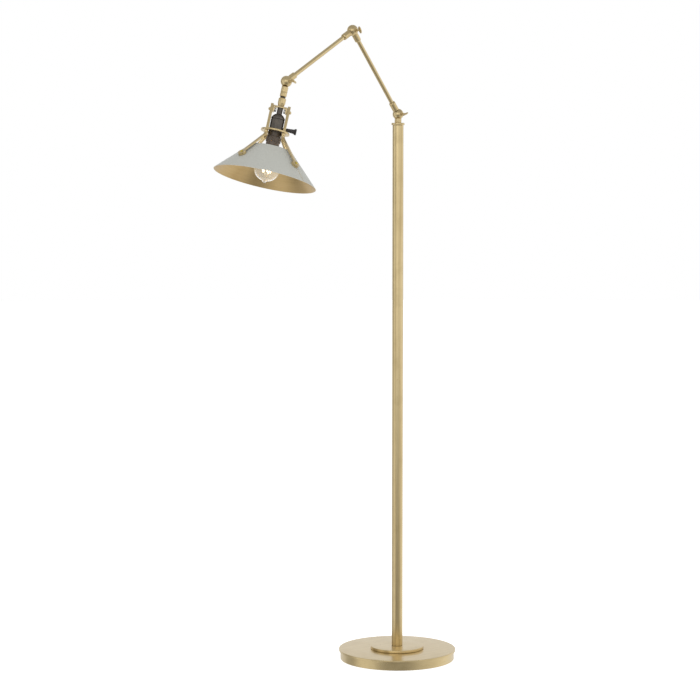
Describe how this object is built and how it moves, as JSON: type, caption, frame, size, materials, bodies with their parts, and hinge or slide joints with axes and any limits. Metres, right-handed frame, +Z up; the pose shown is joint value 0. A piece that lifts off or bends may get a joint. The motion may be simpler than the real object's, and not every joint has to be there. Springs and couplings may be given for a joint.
{
  "type": "pharmacy floor lamp",
  "caption": "Jointed floor lamp with a weighted round base, straight pole, two hinged arms and a cone shade hung on a bracket with two forked legs below an exposed bulb holder.",
  "frame": {"origin": "centre of the underside of the base, on the floor, on the pole's axis", "axes": "+Z up along the pole; the arms reach towards -X in the XZ plane; the thumbscrews face -Y; the cord's outlet faces +X"},
  "size_m": [0.6429, 0.273, 1.4678],
  "materials": {
    "satin_brass": "satin lacquered, fine brushed",
    "bright_brass": "polished",
    "zinc_steel": "zinc plated",
    "cast_iron": "rough casting, painted",
    "felt": "felt",
    "rubber": "moulded",
    "shade_paint": "satin pale grey outside, gold inside",
    "dark_bronze": "dark bronze",
    "black_metal": "satin black",
    "porcelain": "glazed",
    "clear_glass": "clear",
    "filament_wire": "glowing wire"
  },
  "bodies": {
    "stand": {"base_pad": "felt", "base_cover": "satin_brass", "base_weight": "cast_iron", "cord_bushing": "rubber", "base_step": "satin_brass", "base_pipe": "zinc_steel", "base_washer": "zinc_steel", "base_nut": "zinc_steel", "pole_foot_plug": "zinc_steel", "pole_tube": "satin_brass", "pole_top_plug": "zinc_steel", "pole_collar": "satin_brass"},
    "pole_head": {"pole_knuckle": "satin_brass", "swivel_nut": "zinc_steel"},
    "lower_arm": {"lower_arm_start_knuckle": "satin_brass", "lower_arm_rod": "satin_brass", "lower_arm_end_knuckle": "satin_brass"},
    "upper_arm": {"upper_arm_start_knuckle": "satin_brass", "upper_arm_rod": "satin_brass", "upper_arm_end_knuckle": "satin_brass"},
    "stem": {"stem_knuckle": "satin_brass", "stem_barrel": "satin_brass", "swivel_stud": "black_metal"},
    "shade_head": {"swivel_cup": "satin_brass", "socket_nipple": "zinc_steel", "bracket_plate": "satin_brass", "bracket_ring": "satin_brass", "shade": "shade_paint", "bracket_leg_1": "satin_brass", "bracket_leg_2": "satin_brass", "plate_screw_1": "satin_brass", "plate_screw_2": "satin_brass", "plate_nut_1": "zinc_steel", "plate_nut_2": "zinc_steel", "eye_spacer_1": "satin_brass", "eye_spacer_2": "satin_brass", "eye_spacer_3": "satin_brass", "eye_spacer_4": "satin_brass", "shade_screw_1": "bright_brass", "shade_screw_2": "bright_brass", "shade_screw_3": "bright_brass", "shade_screw_4": "bright_brass", "shade_nut_1": "zinc_steel", "shade_nut_2": "zinc_steel", "shade_nut_3": "zinc_steel", "shade_nut_4": "zinc_steel", "socket_cap": "dark_bronze", "socket_shell": "dark_bronze", "socket_core": "porcelain", "screw_shell": "bright_brass", "bulb_base": "bright_brass", "bulb_glass": "clear_glass", "bulb_mount": "clear_glass", "filament": "filament_wire"},
    "pole_thumb": {"pole_thumbscrew": "satin_brass"},
    "elbow_thumb": {"elbow_thumbscrew": "satin_brass"},
    "shade_thumb": {"shade_thumbscrew": "satin_brass"},
    "key": {"switch_key": "black_metal"}
  },
  "joints": [
    {"name": "pole_swivel", "type": "hinge", "parent": "stand", "child": "pole_head", "pos_m": [0, 0, 1.27], "axis": [0, 0, 1], "range_deg": [-170, 170]},
    {"name": "lower_arm_tilt", "type": "hinge", "parent": "pole_head", "child": "lower_arm", "pos_m": [0, 0, 1.27], "axis": [0, -1, 0], "range_deg": [-57, 45]},
    {"name": "elbow_tilt", "type": "hinge", "parent": "lower_arm", "child": "upper_arm", "pos_m": [-0.13962, 0, 1.45528], "axis": [0, -1, 0], "range_deg": [-80, 18]},
    {"name": "shade_tilt", "type": "hinge", "parent": "upper_arm", "child": "stem", "pos_m": [-0.33402, 0, 1.33615], "axis": [0, 1, 0], "range_deg": [-58, 40]},
    {"name": "shade_swivel", "type": "hinge", "parent": "stem", "child": "shade_head", "pos_m": [-0.34426, 0, 1.30091], "axis": [-0.279, 0, -0.9603], "range_deg": [-170, 170]},
    {"name": "pole_thumb_turn", "type": "hinge", "parent": "lower_arm", "child": "pole_thumb", "pos_m": [0, 0, 1.27], "axis": [0, 1, 0], "range_deg": [0, 180]},
    {"name": "elbow_thumb_turn", "type": "hinge", "parent": "upper_arm", "child": "elbow_thumb", "pos_m": [-0.13962, 0, 1.45528], "axis": [0, 1, 0], "range_deg": [0, 180]},
    {"name": "shade_thumb_turn", "type": "hinge", "parent": "stem", "child": "shade_thumb", "pos_m": [-0.33402, 0, 1.33615], "axis": [0, 1, 0], "range_deg": [0, 180]},
    {"name": "switch_turn", "type": "hinge", "parent": "shade_head", "child": "key", "pos_m": [-0.3636, 0, 1.23436], "axis": [0.741, -0.6361, -0.2153], "continuous": true}
  ]
}
